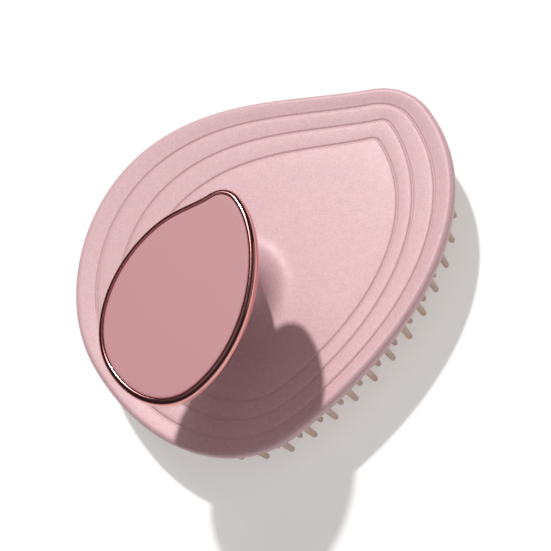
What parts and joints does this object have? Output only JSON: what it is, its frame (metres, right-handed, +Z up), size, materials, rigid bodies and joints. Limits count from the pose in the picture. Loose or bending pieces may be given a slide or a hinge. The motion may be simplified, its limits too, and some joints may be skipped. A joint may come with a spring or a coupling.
{
  "type": "scalp massager brush",
  "caption": "Hand-held scalp massage brush: drop-shaped shell with contour lines, flared stem and flat drop-shaped knob above, soft silicone bristles below.",
  "frame": {"origin": "middle of the whole brush seen from above, on the plane of its bristle tips", "axes": "+Z up from the bristle tips to the knob, +X from the round end to the tip of the drop, +Y to the flatter flank"},
  "size_m": [0.1096, 0.0944, 0.0519],
  "materials": {
    "pearl_pink": "pearl satin with fine sparkle",
    "rose_gold": "polished rose-gold plating on plastic",
    "matt_mauve": "soft-touch matt",
    "beige_silicone": "slightly translucent matt silicone",
    "base_plastic": "uncoated moulded plastic",
    "seal_rubber": "matt rubber",
    "foam_tape": "double-sided foam tape",
    "stainless_steel": "plain stainless steel",
    "brass": "turned brass"
  },
  "bodies": {
    "root": {"upper_shell": "pearl_pink", "neck_seal": "seal_rubber", "base_plate": "base_plastic", "base_gasket": "seal_rubber", "bristle_pad": "beige_silicone", "stem_screw": "stainless_steel", "stem_washer": "stainless_steel", "knob_bowl": "pearl_pink", "knob_insert": "brass", "knob_ring": "rose_gold", "cap_tape": "foam_tape", "knob_cap": "matt_mauve"}
  },
  "joints": []
}
